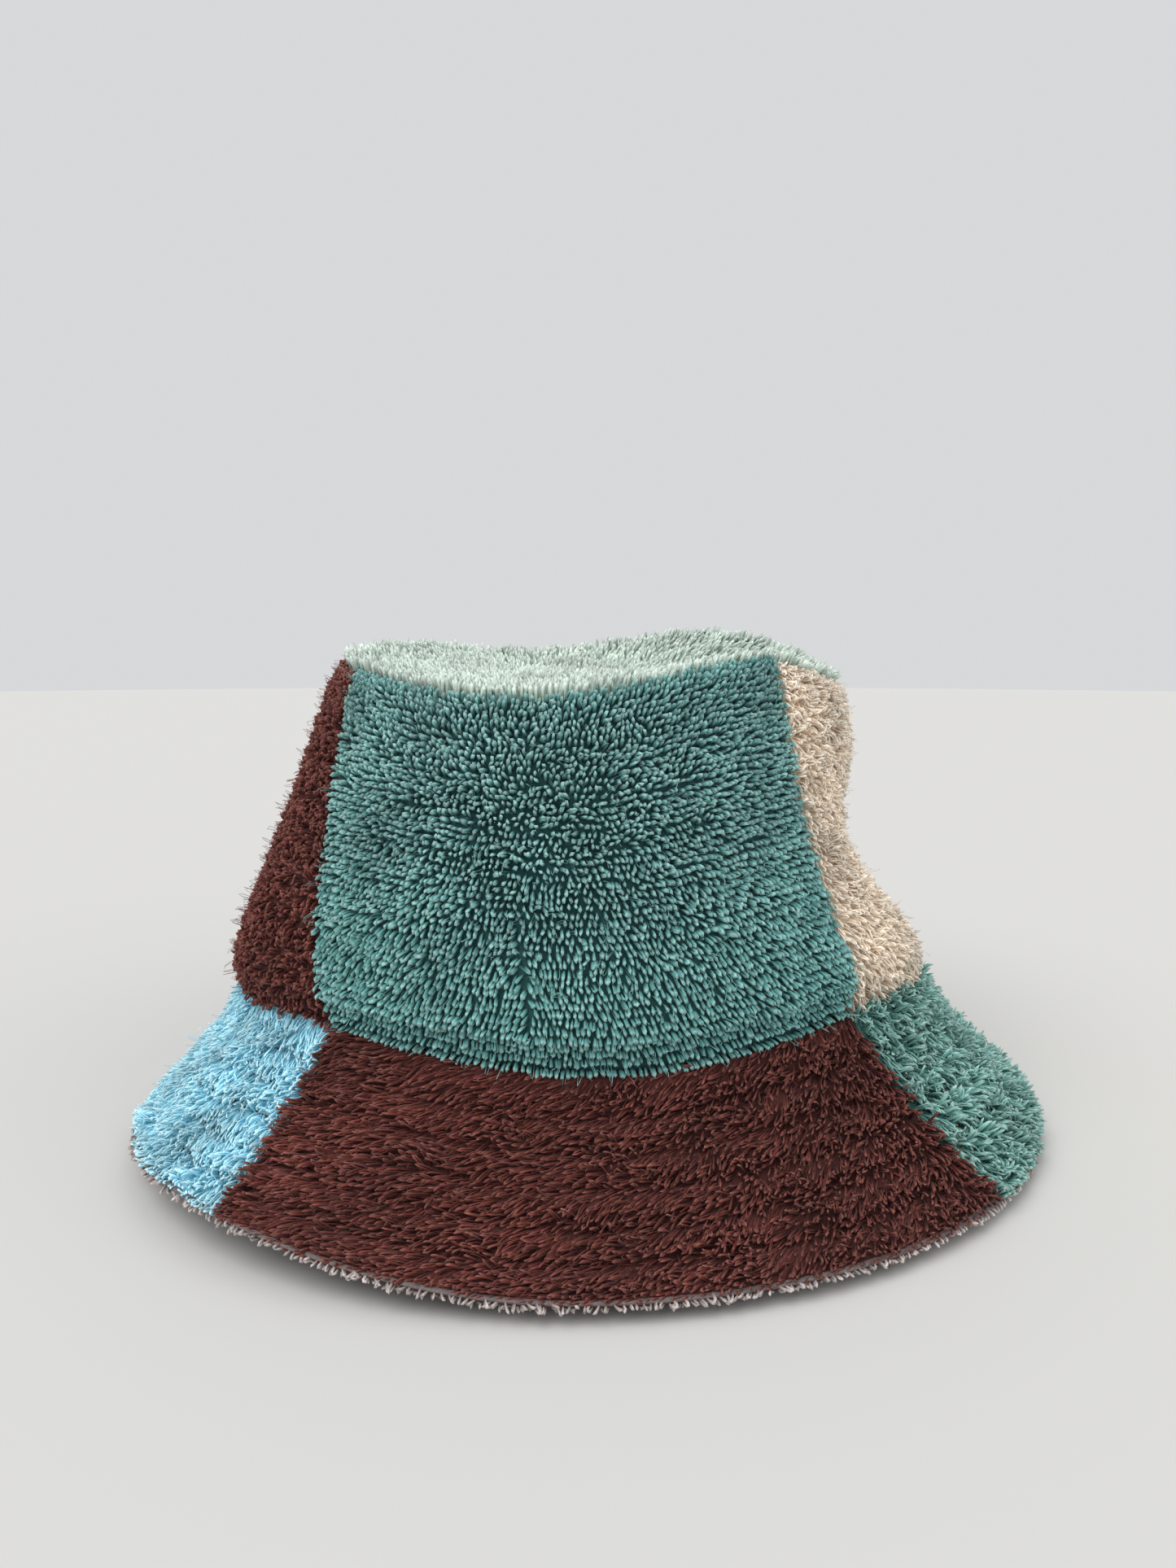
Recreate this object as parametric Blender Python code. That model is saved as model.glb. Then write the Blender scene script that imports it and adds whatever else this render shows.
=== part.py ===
"""Lined terry-cloth bucket hat, sewn from quarter panels.

Units are metres and +Z is up.  The hat stands on its brim with the opening
down.  The origin is at the middle of the brim's outline, on the table, and
its front faces -Y.  A "turn" is the angle round the crown's axis, measured
from the front towards +X.  A "level" is how far along a surface a point is,
from 0 to 1.  A "depth" is a distance from the outer face towards the head.

Every cloth piece is a tray: a curved face whose edges are turned in as seam
allowances.  Two allowances stand face to face in each seam, and a line of
sewing thread runs along their tips.
"""

import math

import bmesh
import bpy
import numpy as np
from mathutils import Vector

# ---------------------------------------------------------------- sizes
SEAM_RADIUS = 0.0992  # where the brim is sewn to the crown
SEAM_HEIGHT = 0.0380
TOP_RADIUS = 0.0744  # where the top is sewn to the crown sides
TOP_HEIGHT = 0.1290
TOP_SAG = 0.0065  # how far the middle of the top hangs below its rim
EDGE_RADIUS = 0.1319  # outer edge of the brim
EDGE_HEIGHT = 0.0053
CROWN_AXIS = (-0.0022, 0.0031, 0.0)  # brings the brim outline over the origin

# Soft shape of the sewn rings: (waves round the hat, cosine, sine) in metres
SEAM_RADIUS_WAVES = ((1, 0.0020, -0.0010), (2, -0.0010, -0.0014))
SEAM_HEIGHT_WAVES = ((1, 0.0007, 0.0008), (4, -0.0030, -0.0010))
TOP_RADIUS_WAVES = ((2, 0.0004, -0.0015), (3, 0.0015, -0.0018))
TOP_HEIGHT_WAVES = ((1, -0.0056, 0.0), (3, 0.0, 0.0034), (4, -0.0020, 0.0))
EDGE_RADIUS_WAVES = ((1, 0.0059, 0.0011), (2, 0.0065, -0.0007), (3, -0.0028, -0.0015))

ROLL_OVER_BRIM = 0.0046  # the crown's foot rolls out over the brim seam
ROLL_LEVEL = 0.10
ROLL_SPREAD = 0.33
WALL_SWELL = 0.0013  # the crown's wall is fuller on the left, flatter on the right
DENT_DEPTH = 0.0124  # the hollow pushed into the right side of the crown
DENT_TURN = math.radians(88)
DENT_LEVEL = 0.425
DENT_TURN_SPREAD = 0.6
DENT_LEVEL_SPREAD = 0.245
BRIM_DISH = 0.0016  # the brim is slightly hollow from seam to edge
EDGE_LIFT = 0.0060  # the brim edge is off the table here
EDGE_LIFT_TURN = math.radians(-38)
EDGE_LIFT_REACH = math.radians(38)

# Layers through the wall, as depths from the outer face
CLOTH = 0.0020  # terry cloth, pressed
ALLOWANCE = 0.0014  # the same cloth, trimmed, where it is turned in
ALLOWANCE_TIP = 0.0030
OUTER_THREAD_DEPTH = 0.00355
INTERLINING_DEPTH = 0.0041
INTERLINING = 0.0008
LINING_THREAD_DEPTH = 0.0045
LINING_TIP = 0.00515
LINING_FACE = 0.00815  # the face that touches the head
EDGE_TIP = 0.0039
EDGE_LINING_TIP = 0.00425

GAP = 0.0003  # air between neighbouring solids
LINING_EASE = 0.0003  # each lining panel is narrower by this at a long seam
SEAM_THREAD_RADIUS = 0.0003
TOPSTITCH_RADIUS = 0.00035
TOPSTITCH_DEPTH = 0.0003
SEAM_DIP = 0.0008  # the outer cloth dips into each seam
STITCH_SINK = 0.0009  # and under each row of topstitching
RELIEF = 0.0030  # allowances are clipped this far from a corner
TOP_RELIEF = 0.0050  # and this far where two of them fold into the top's corner
EDGE_THREAD_INSET = 0.0028
TOP_CORNER_SHIFT = 0.0063  # the lining ends this much sooner at the top's corner

# The four seams that run from the top to the brim edge, in degrees of turn
# at the top, at the brim seam and at the brim edge
SEAMS = {
    "front_right": (44.3, 41.9, 44.9),
    "back_right": (133.0, 134.0, 134.0),
    "back_left": (222.0, 225.0, 224.0),
    "front_left": (303.8, 323.7, 325.8),
}
PANELS = {
    "front": ("front_left", "front_right"),
    "right": ("front_right", "back_right"),
    "back": ("back_right", "back_left"),
    "left": ("back_left", "front_left"),
}
STEPS = 8  # faces across a panel between its clipped corners
NUDGE = 0.002  # a small step in turn or level, to find a surface's slope
TOPSTITCH_LEVELS = (0.18, 0.34, 0.50, 0.66, 0.82)

# Rows of points on each kind of panel.  The second and the last but one
# keep the allowances clear of the corners.
SIDE_LEVELS = (0.0, 0.035, 0.15, 0.30, 0.45, 0.62, 0.80, 0.943, 1.0)
BRIM_LEVELS = (0.0, 0.06, 0.18, 0.26, 0.34, 0.42, 0.50, 0.58, 0.66, 0.74, 0.82, 0.94, 1.0)
LINING_LEVELS = (0.0, 0.035, 0.15, 0.30, 0.45, 0.62, 0.78, 0.893, 1.0)
UNDERSIDE_LEVELS = (0.0, 0.06, 0.30, 0.55, 0.78, 0.94, 1.0)
TOP_LEVELS = (0.0, 0.3, 0.58, 0.78)  # its last two rings are set by the clip and the rim
INTERLINING_LEVELS = (0.09, 0.35, 0.62, 0.90)

# Colours as the cloth is seen, sRGB 0 to 255
TEAL = (70, 104, 103)
BROWN = (86, 55, 51)
MINT = (195, 208, 199)
CREAM = (208, 192, 174)
LIGHT_BLUE = (135, 192, 210)
SEA_GREEN = (96, 128, 121)
LILAC_GREY = (150, 140, 137)
UNDYED = (214, 208, 196)
CROWN_COLOURS = {"front": TEAL, "right": CREAM, "back": LIGHT_BLUE, "left": BROWN}
BRIM_COLOURS = {"front": BROWN, "right": SEA_GREEN, "back": MINT, "left": LIGHT_BLUE}
CLOTH_ROUGHNESS = 0.95
THREAD_ROUGHNESS = 0.7


# ---------------------------------------------------------------- the shape
def wavy(mean, waves, turn):
    """A ring's radius or height at a turn."""
    return mean + sum(c * math.cos(n * turn) + s * math.sin(n * turn) for n, c, s in waves)


def at(turn, radius, height):
    """The point at a turn, a radius and a height."""
    return Vector((radius * math.sin(turn), -radius * math.cos(turn), height))


def bell(offset, spread):
    """A smooth bump: 1 at no offset, near 0 beyond twice the spread."""
    return math.exp(-((offset / spread) ** 2))


def angle_between(turn, other):
    """The signed angle from one turn to another, within half a circle."""
    return (turn - other + math.pi) % (2 * math.pi) - math.pi


def edge_lift(turn):
    """How far the brim edge stands off the table at a turn."""
    reach = min(abs(angle_between(turn, EDGE_LIFT_TURN)) / EDGE_LIFT_REACH, 1.0)
    return EDGE_LIFT * (0.5 + 0.5 * math.cos(math.pi * reach))


def seam_ring(turn):
    """Radius and height of the seam between crown and brim."""
    return wavy(SEAM_RADIUS, SEAM_RADIUS_WAVES, turn), wavy(SEAM_HEIGHT, SEAM_HEIGHT_WAVES, turn)


def top_ring(turn):
    """Radius and height of the seam between top and sides."""
    return wavy(TOP_RADIUS, TOP_RADIUS_WAVES, turn), wavy(TOP_HEIGHT, TOP_HEIGHT_WAVES, turn)


def crown_side(turn, level):
    """Outer face of the crown's wall, level 0 at the brim and 1 at the top."""
    foot_radius, foot_height = seam_ring(turn)
    top_radius, top_height = top_ring(turn)
    roll = ROLL_OVER_BRIM * bell(level - ROLL_LEVEL, ROLL_SPREAD)
    dent = DENT_DEPTH * bell(angle_between(turn, DENT_TURN), DENT_TURN_SPREAD)
    dent *= bell(level - DENT_LEVEL, DENT_LEVEL_SPREAD)
    free_of_seam = min(level / ROLL_LEVEL, 1.0)
    radius = foot_radius + (top_radius - foot_radius) * level + (roll - dent) * free_of_seam
    radius -= WALL_SWELL * math.sin(turn) * math.sin(math.pi * level)
    return at(turn, radius, foot_height + (top_height - foot_height) * level)


def brim(turn, level):
    """Outer face of the brim, level 0 at the crown and 1 at its edge."""
    seam_radius, seam_height = seam_ring(turn)
    edge_radius = wavy(EDGE_RADIUS, EDGE_RADIUS_WAVES, turn)
    edge_height = EDGE_HEIGHT + edge_lift(turn)
    dip = BRIM_DISH * math.sin(math.pi * level)
    radius = seam_radius + (edge_radius - seam_radius) * level - dip
    return at(turn, radius, seam_height + (edge_height - seam_height) * level - dip)


def crown_top(turn, level):
    """Outer face of the top, level 0 at its middle and 1 at its rim."""
    radius, rim_height = top_ring(turn)
    height = TOP_HEIGHT - TOP_SAG + (rim_height - TOP_HEIGHT + TOP_SAG) * level**2
    return at(turn, radius * level, height)


def outward(surface, turn, level):
    """Unit vector that points straight out of a surface.

    Levels run up the crown's wall but down the brim and the top.
    """
    level = min(max(level, NUDGE), 1.0 - NUDGE)
    round_hat = surface(turn + NUDGE, level) - surface(turn - NUDGE, level)
    along = surface(turn, level + NUDGE) - surface(turn, level - NUDGE)
    normal = round_hat.cross(along).normalized()
    return normal if surface is crown_side else -normal


def mitre(surface, turn, level):
    """The direction out of the cloth, scaled so that layers stay parallel.

    In a seam between two surfaces it halves the angle between them.
    """
    own = outward(surface, turn, level)
    other = own
    if surface is crown_side and level == 0.0:
        other = outward(brim, turn, 0.0)
    elif surface is brim and level == 0.0:
        other = outward(crown_side, turn, 0.0)
    elif surface is crown_side and level == 1.0:
        other = outward(crown_top, turn, 1.0)
    elif surface is crown_top and level == 1.0:
        other = outward(crown_side, turn, 1.0)
    half = (own + other).normalized()
    return half / half.dot(own)


# ---------------------------------------------------------------- the pattern
def seam_turn(seam, surface, level):
    """Turn of one of the four long seams, at a level of a surface."""
    top, foot, edge = (math.radians(angle) for angle in SEAMS[seam])
    if surface is crown_top:
        return top
    end = top if surface is crown_side else edge
    return foot + (end - foot) * level


def panel_turns(panel, surface, level):
    """Turns of a panel's columns of points, from seam to seam."""
    first, last = (seam_turn(seam, surface, level) for seam in PANELS[panel])
    if last < first:
        last += 2 * math.pi
    radius = math.hypot(*surface(first, level).xy)
    first_inner = first + RELIEF / radius
    last_inner = last - RELIEF / radius
    step = (last_inner - first_inner) / STEPS
    inner = [first_inner + step * i for i in range(STEPS + 1)]
    pull = GAP / 2 / radius
    return [first + pull, *inner, last - pull]


def slant(surface):
    """Length of a surface from level 0 to level 1, along the cloth."""
    return (surface(0.0, 1.0) - surface(0.0, 0.0)).length


# ---------------------------------------------------------------- making objects
def clear_scene():
    """Remove whatever the scene holds."""
    for thing in list(bpy.data.objects):
        bpy.data.objects.remove(thing, do_unlink=True)


def linear(channel):
    """An sRGB channel, 0 to 255, as linear light."""
    value = channel / 255
    return value / 12.92 if value <= 0.04045 else ((value + 0.055) / 1.055) ** 2.4


def material(name, colour, roughness):
    """A plain cloth or thread material."""
    made = bpy.data.materials.new(name)
    made.use_nodes = True
    shader = made.node_tree.nodes["Principled BSDF"]
    shader.inputs["Base Color"].default_value = (*(linear(channel) for channel in colour), 1.0)
    shader.inputs["Roughness"].default_value = roughness
    shader.inputs["Metallic"].default_value = 0.0
    made.diffuse_color = shader.inputs["Base Color"].default_value
    return made


def add_object(name, data, colour, roughness):
    """Put a mesh or curve in the hat's collection, with its own material."""
    data.materials.append(material(name, colour, roughness))
    thing = bpy.data.objects.new(name, data)
    thing.parent = crown_axis
    hat.objects.link(thing)


def cloth_mesh(name, columns, rows, place, keep):
    """A piece of cloth as a closed mesh, with a face and a back.

    Both start as the same grid.  place(column, row, back) gives each point,
    and keep(column, row) says which cells stay.  The turned edges are as
    thin as trimmed allowances, so one Solidify can't make face and back.
    """
    work = bmesh.new()
    bmesh.ops.create_grid(work, x_segments=columns, y_segments=rows, size=0.5)
    spots = {
        vertex: (round((vertex.co.x + 0.5) * columns), round((vertex.co.y + 0.5) * rows))
        for vertex in work.verts
    }
    dropped = []
    for face in work.faces:
        corners = [spots[vertex] for vertex in face.verts]
        if not keep(*map(min, zip(*corners))):
            dropped.append(face)
    bmesh.ops.delete(work, geom=dropped, context="FACES")
    face_side = list(work.verts)
    rim = [edge for edge in work.edges if edge.is_boundary]
    copied = bmesh.ops.duplicate(work, geom=[*work.verts, *work.edges, *work.faces])["vert_map"]
    for edge in rim:
        first, second = edge.verts
        work.faces.new((first, second, copied[second], copied[first]))
    for vertex in face_side:
        column, row = spots[vertex]
        vertex.co = place(column, row, False)
        copied[vertex].co = place(column, row, True)
    bmesh.ops.recalc_face_normals(work, faces=work.faces)
    if work.calc_volume(signed=True) < 0:
        bmesh.ops.reverse_faces(work, faces=work.faces)
    mesh = bpy.data.meshes.new(name)
    work.to_mesh(mesh)
    work.free()
    return mesh


def quarter(name, panel, surface, levels, layer, tips, colour, sink=None):
    """One sewn quarter panel of the crown's wall or of the brim.

    layer holds the depths of its face and its back, and tips the depths
    that its allowances reach at level 0, at level 1 and along the two long
    seams.  sink(level, edge) gives how far the cloth dips.
    """
    length = slant(surface)
    is_lining = layer[0] == LINING_FACE
    last_row = len(levels) - 1
    last_column = STEPS + 2
    columns = last_column + 2
    rows = last_row + 2

    def place(column, row, back):
        inner_row = min(max(row - 1, 0), last_row)
        inner_column = min(max(column - 1, 0), last_column)
        level = levels[inner_row]
        turn = panel_turns(panel, surface, level)[inner_column]
        depth = layer[1] if back else layer[0]
        if sink:
            depth += sink(level, inner_column in (0, last_column))
        if row in (0, rows):
            depth = tips[0] if row == 0 else tips[1]
        if column in (0, columns):
            depth = tips[2]
        inset = GAP / 2 + (ALLOWANCE if back else 0.0)
        if inner_column in (0, last_column):
            radius = math.hypot(*surface(turn, level).xy)
            shift = (ALLOWANCE if back else 0.0) + (LINING_EASE if is_lining else 0.0)
            turn += shift / radius * (1 if inner_column == 0 else -1)
        held = min(max(level, inset / length), 1.0 - inset / length)
        spot = surface(turn, held) - mitre(surface, turn, level) * depth
        stands = surface is brim and is_lining and not back
        if stands and inner_row >= last_row - 1 and row < rows:
            spot.z = edge_lift(turn)
        return spot

    def keep(column, row):
        return column not in (0, columns - 1) or 1 < row < rows - 2

    mesh = cloth_mesh(name, columns, rows, place, keep)
    add_object(name, mesh, colour, CLOTH_ROUGHNESS)


def round_top(name, layer, tip, clip, colour, dip=0.0):
    """The round piece on top, with its edge turned in.

    Its grid's square rings become the hat's rings, and its corners come to
    the four long seams.  clip is the width of the outermost ring.
    """
    rings = (*TOP_LEVELS, 1.0 - clip / TOP_RADIUS, 1.0)
    reach = len(rings) - 1
    half = reach + 1
    rim = []
    for panel, (first_seam, _) in PANELS.items():
        rim += [seam_turn(first_seam, crown_top, 1.0)] + panel_turns(panel, crown_top, 1.0)[1:-1]
    rim = np.unwrap([*rim, rim[0]])

    def turn_at(share):
        """The turn at a share of the way round the square ring."""
        return float(np.interp(share * (len(rim) - 1), range(len(rim)), rim))

    def place(column, row, back):
        x = min(max(column - half, -reach), reach)
        y = min(max(row - half, -reach), reach)
        ring = max(abs(x), abs(y))
        depth = layer[1] if back else layer[0]
        if ring == 0:
            return crown_top(0.0, 0.0) - Vector((0, 0, depth))
        if y == -ring and x < ring:
            share = (x + ring) / (8 * ring)
        elif x == ring and y < ring:
            share = 0.25 + (y + ring) / (8 * ring)
        elif y == ring and x > -ring:
            share = 0.5 + (ring - x) / (8 * ring)
        else:
            share = 0.75 + (ring - y) / (8 * ring)
        turn = turn_at(share)
        level = rings[ring]
        if max(abs(column - half), abs(row - half)) == half:
            depth = tip
        elif ring == reach:
            depth += dip
        inset = GAP / 2 + (ALLOWANCE if back else 0.0)
        held = min(level, 1.0 - inset / TOP_RADIUS)
        return crown_top(turn, held) - mitre(crown_top, turn, level) * depth

    def keep(column, row):
        ends = (0, 2 * half - 1)
        clipped = (0, 1, 2 * half - 2, 2 * half - 1)
        return not (column in ends and row in clipped or row in ends and column in clipped)

    mesh = cloth_mesh(name, 2 * half, 2 * half, place, keep)
    add_object(name, mesh, colour, CLOTH_ROUGHNESS)


def interlining(name, panel):
    """The stiffener inside one quarter of the brim, clear of its seams."""

    def place(column, row, back):
        level = INTERLINING_LEVELS[row]
        turn = panel_turns(panel, brim, level)[column + 1]
        depth = INTERLINING_DEPTH + (INTERLINING if back else 0.0)
        return brim(turn, level) - outward(brim, turn, level) * depth

    mesh = cloth_mesh(name, STEPS, len(INTERLINING_LEVELS) - 1, place, lambda column, row: True)
    add_object(name, mesh, UNDYED, CLOTH_ROUGHNESS)


def thread(name, points, radius, colour, closed):
    """A line of sewing thread through points."""
    curve = bpy.data.curves.new(name, "CURVE")
    curve.dimensions = "3D"
    curve.bevel_depth = radius
    curve.bevel_resolution = 0
    curve.use_fill_caps = not closed
    line = curve.splines.new("POLY")
    line.points.add(len(points) - 1)
    for spot, point in zip(line.points, points):
        spot.co = (*point, 1.0)
    line.use_cyclic_u = closed
    add_object(name, curve, colour, THREAD_ROUGHNESS)


def ring_points(surface, level, depth):
    """Points once round the hat, in line with the panels' columns."""
    points = []
    for panel, (first_seam, _) in PANELS.items():
        turns = [seam_turn(first_seam, surface, level)] + panel_turns(panel, surface, level)[1:-1]
        points += [surface(turn, level) - mitre(surface, turn, level) * depth for turn in turns]
    return points


def seam_points(surface, seam, levels, depth):
    """Points along a long seam, in line with the panels' rows."""
    turns = [seam_turn(seam, surface, level) for level in levels]
    return [surface(t, level) - outward(surface, t, level) * depth for t, level in zip(turns, levels)]


# ---------------------------------------------------------------- the hat
def outer_sink(level, edge):
    """How far the outer cloth dips: into its seams, and under topstitching."""
    return SEAM_DIP if edge or level in (0.0, 1.0) else 0.0


def brim_sink(level, edge):
    """As outer_sink, with the rows of topstitching on the brim."""
    return max(outer_sink(level, edge), STITCH_SINK if level in TOPSTITCH_LEVELS else 0.0)


def make_outer_shell():
    """Top, four sides and four brim quarters of the outer cloth."""
    layer = (0.0, CLOTH)
    round_top("crown_top", layer, ALLOWANCE_TIP, TOP_RELIEF, MINT, dip=SEAM_DIP)
    side_tips = (ALLOWANCE_TIP, ALLOWANCE_TIP, ALLOWANCE_TIP)
    brim_tips = (ALLOWANCE_TIP, EDGE_TIP, ALLOWANCE_TIP)
    for panel in PANELS:
        name = f"crown_side_{panel}"
        quarter(name, panel, crown_side, SIDE_LEVELS, layer, side_tips, CROWN_COLOURS[panel], outer_sink)
        name = f"brim_{panel}"
        quarter(name, panel, brim, BRIM_LEVELS, layer, brim_tips, BRIM_COLOURS[panel], brim_sink)


def make_lining():
    """The same pieces again in lining cloth, with their allowances outwards."""
    layer = (LINING_FACE, LINING_FACE - CLOTH)
    clip = TOP_CORNER_SHIFT + RELIEF
    round_top("lining_top", layer, LINING_TIP, clip, LILAC_GREY)
    side_tips = (LINING_TIP, LINING_TIP, LINING_TIP)
    under_tips = (LINING_TIP, EDGE_LINING_TIP, LINING_TIP)
    for panel in PANELS:
        quarter(f"lining_side_{panel}", panel, crown_side, LINING_LEVELS, layer, side_tips, LILAC_GREY)
        quarter(f"brim_underside_{panel}", panel, brim, UNDERSIDE_LEVELS, layer, under_tips, LILAC_GREY)


def make_threads():
    """Seam threads of both shells, and the brim's rows of topstitching."""
    ring_seams = (
        ("crown_top_seam_thread", crown_side, 1.0, OUTER_THREAD_DEPTH, UNDYED),
        ("crown_brim_seam_thread", crown_side, 0.0, OUTER_THREAD_DEPTH, UNDYED),
        ("lining_top_seam_thread", crown_side, 1.0, LINING_THREAD_DEPTH, LILAC_GREY),
        ("lining_brim_seam_thread", crown_side, 0.0, LINING_THREAD_DEPTH, LILAC_GREY),
    )
    for name, surface, level, depth, colour in ring_seams:
        thread(name, ring_points(surface, level, depth), SEAM_THREAD_RADIUS, colour, closed=True)
    edge_level = 1.0 - EDGE_THREAD_INSET / slant(brim)
    edge_depth = (EDGE_TIP + EDGE_LINING_TIP) / 2
    edge_points = ring_points(brim, edge_level, edge_depth)
    thread("brim_edge_seam_thread", edge_points, SEAM_THREAD_RADIUS, LILAC_GREY, closed=True)
    for seam in SEAMS:
        for layer, surface, levels, depth, colour in (
            ("crown_side", crown_side, SIDE_LEVELS[1:-1], OUTER_THREAD_DEPTH, UNDYED),
            ("brim", brim, BRIM_LEVELS[1:-2], OUTER_THREAD_DEPTH, UNDYED),
            ("lining_side", crown_side, LINING_LEVELS[1:-1], LINING_THREAD_DEPTH, LILAC_GREY),
            ("brim_underside", brim, UNDERSIDE_LEVELS[1:-2], LINING_THREAD_DEPTH, LILAC_GREY),
        ):
            points = seam_points(surface, seam, levels, depth)
            thread(f"{layer}_seam_thread_{seam}", points, SEAM_THREAD_RADIUS, colour, closed=False)
    for row, level in enumerate(TOPSTITCH_LEVELS, start=1):
        points = ring_points(brim, level, TOPSTITCH_DEPTH)
        thread(f"brim_topstitch_row_{row}", points, TOPSTITCH_RADIUS, BROWN, closed=True)


clear_scene()
hat = bpy.data.collections.new("bucket_hat")
bpy.context.scene.collection.children.link(hat)
crown_axis = bpy.data.objects.new("crown_axis", None)
crown_axis.location = CROWN_AXIS
hat.objects.link(crown_axis)
make_outer_shell()
make_lining()
for quarter_name in PANELS:
    interlining(f"brim_interlining_{quarter_name}", quarter_name)
make_threads()
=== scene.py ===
"""Looks of the terry-cloth bucket hat: its ground cloth, its looped pile, and the studio.

Units are metres, and the hat's front faces -Y.  The CAD's outer faces are
where the tips of the pile are.  Each sewn panel gets a thin ground cloth
below them, and a pile of real yarn loops that stand on that cloth.

A "turn" is the angle round the crown's axis, measured from the front
towards +X.  A "level" runs from 0 to 1: from the brim seam up the crown's
wall, from the crown out along the brim, or from the middle of the top out.
"""

import math
from dataclasses import dataclass, replace

import bpy
import numpy as np
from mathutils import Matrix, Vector


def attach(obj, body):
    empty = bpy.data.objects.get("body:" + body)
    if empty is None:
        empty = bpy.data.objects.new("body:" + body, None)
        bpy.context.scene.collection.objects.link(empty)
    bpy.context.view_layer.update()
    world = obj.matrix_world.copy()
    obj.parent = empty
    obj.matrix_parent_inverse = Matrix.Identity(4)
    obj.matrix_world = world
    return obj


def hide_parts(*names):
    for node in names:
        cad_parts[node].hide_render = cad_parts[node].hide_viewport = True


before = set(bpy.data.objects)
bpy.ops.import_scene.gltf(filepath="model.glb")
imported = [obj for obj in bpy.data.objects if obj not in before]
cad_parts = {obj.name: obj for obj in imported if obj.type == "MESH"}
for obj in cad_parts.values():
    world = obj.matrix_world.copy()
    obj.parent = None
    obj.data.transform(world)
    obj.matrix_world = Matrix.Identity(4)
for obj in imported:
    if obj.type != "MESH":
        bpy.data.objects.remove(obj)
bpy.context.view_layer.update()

# ---------------------------------------------------------------- sizes, as in the CAD
SEAM_RADIUS = 0.0992
SEAM_HEIGHT = 0.0380
TOP_RADIUS = 0.0744
TOP_HEIGHT = 0.1290
TOP_SAG = 0.0065
EDGE_RADIUS = 0.1319
EDGE_HEIGHT = 0.0053
CROWN_AXIS = (-0.0022, 0.0031, 0.0)

# Soft shape of the sewn rings: (waves round the hat, cosine, sine)
SEAM_RADIUS_WAVES = ((1, 0.0020, -0.0010), (2, -0.0010, -0.0014))
SEAM_HEIGHT_WAVES = ((1, 0.0007, 0.0008), (4, -0.0030, -0.0010))
TOP_RADIUS_WAVES = ((2, 0.0004, -0.0015), (3, 0.0015, -0.0018))
TOP_HEIGHT_WAVES = ((1, -0.0056, 0.0), (3, 0.0, 0.0034), (4, -0.0020, 0.0))
EDGE_RADIUS_WAVES = ((1, 0.0059, 0.0011), (2, 0.0065, -0.0007), (3, -0.0028, -0.0015))

ROLL_OVER_BRIM = 0.0046
ROLL_LEVEL = 0.10
ROLL_SPREAD = 0.33
WALL_SWELL = 0.0013
DENT_DEPTH = 0.0124
DENT_TURN = math.radians(88)
DENT_LEVEL = 0.425
DENT_TURN_SPREAD = 0.6
DENT_LEVEL_SPREAD = 0.245
BRIM_DISH = 0.0016
EDGE_LIFT = 0.0060
EDGE_LIFT_TURN = math.radians(-38)
EDGE_LIFT_REACH = math.radians(38)
TOPSTITCH_LEVELS = (0.18, 0.34, 0.50, 0.66, 0.82)
LINING_DEPTH = 0.00815  # of the lining's inner face, under the outer face
EDGE_SEAM_DEPTH = 0.0026  # of the seam along the brim edge
EDGE_SEAM_ROLL = 0.0014  # the lining rolls out to the edge by this at the front left
EDGE_SEAM_TURN = math.radians(-35)

# The four long seams, in degrees of turn at the top, the brim seam and the edge
SEAMS = {
    "front_right": (44.3, 41.9, 44.9),
    "back_right": (133.0, 134.0, 134.0),
    "back_left": (222.0, 225.0, 224.0),
    "front_left": (303.8, 323.7, 325.8),
}
PANELS = {
    "front": ("front_left", "front_right"),
    "right": ("front_right", "back_right"),
    "back": ("back_right", "back_left"),
    "left": ("back_left", "front_left"),
}
NUDGE = 0.002  # a small step in turn or level, to find a surface's slope


# ---------------------------------------------------------------- the hat's shape
def wavy(mean, waves, turn):
    """A ring's radius or height at each turn."""
    return mean + sum(c * np.cos(n * turn) + s * np.sin(n * turn) for n, c, s in waves)


def at(turn, radius, height):
    """Points at a turn, a radius and a height."""
    flat = (radius * np.sin(turn), -radius * np.cos(turn), height)
    return np.stack(np.broadcast_arrays(*flat), axis=-1) + CROWN_AXIS


def bell(offset, spread):
    """A smooth bump: 1 at no offset, near 0 beyond twice the spread."""
    return np.exp(-((offset / spread) ** 2))


def angle_between(turn, other):
    """The signed angle from one turn to another, within half a circle."""
    return (turn - other + math.pi) % (2 * math.pi) - math.pi


def edge_lift(turn):
    """How far the brim edge stands off the table."""
    reach = np.minimum(abs(angle_between(turn, EDGE_LIFT_TURN)) / EDGE_LIFT_REACH, 1.0)
    return EDGE_LIFT * (0.5 + 0.5 * np.cos(np.pi * reach))


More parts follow.
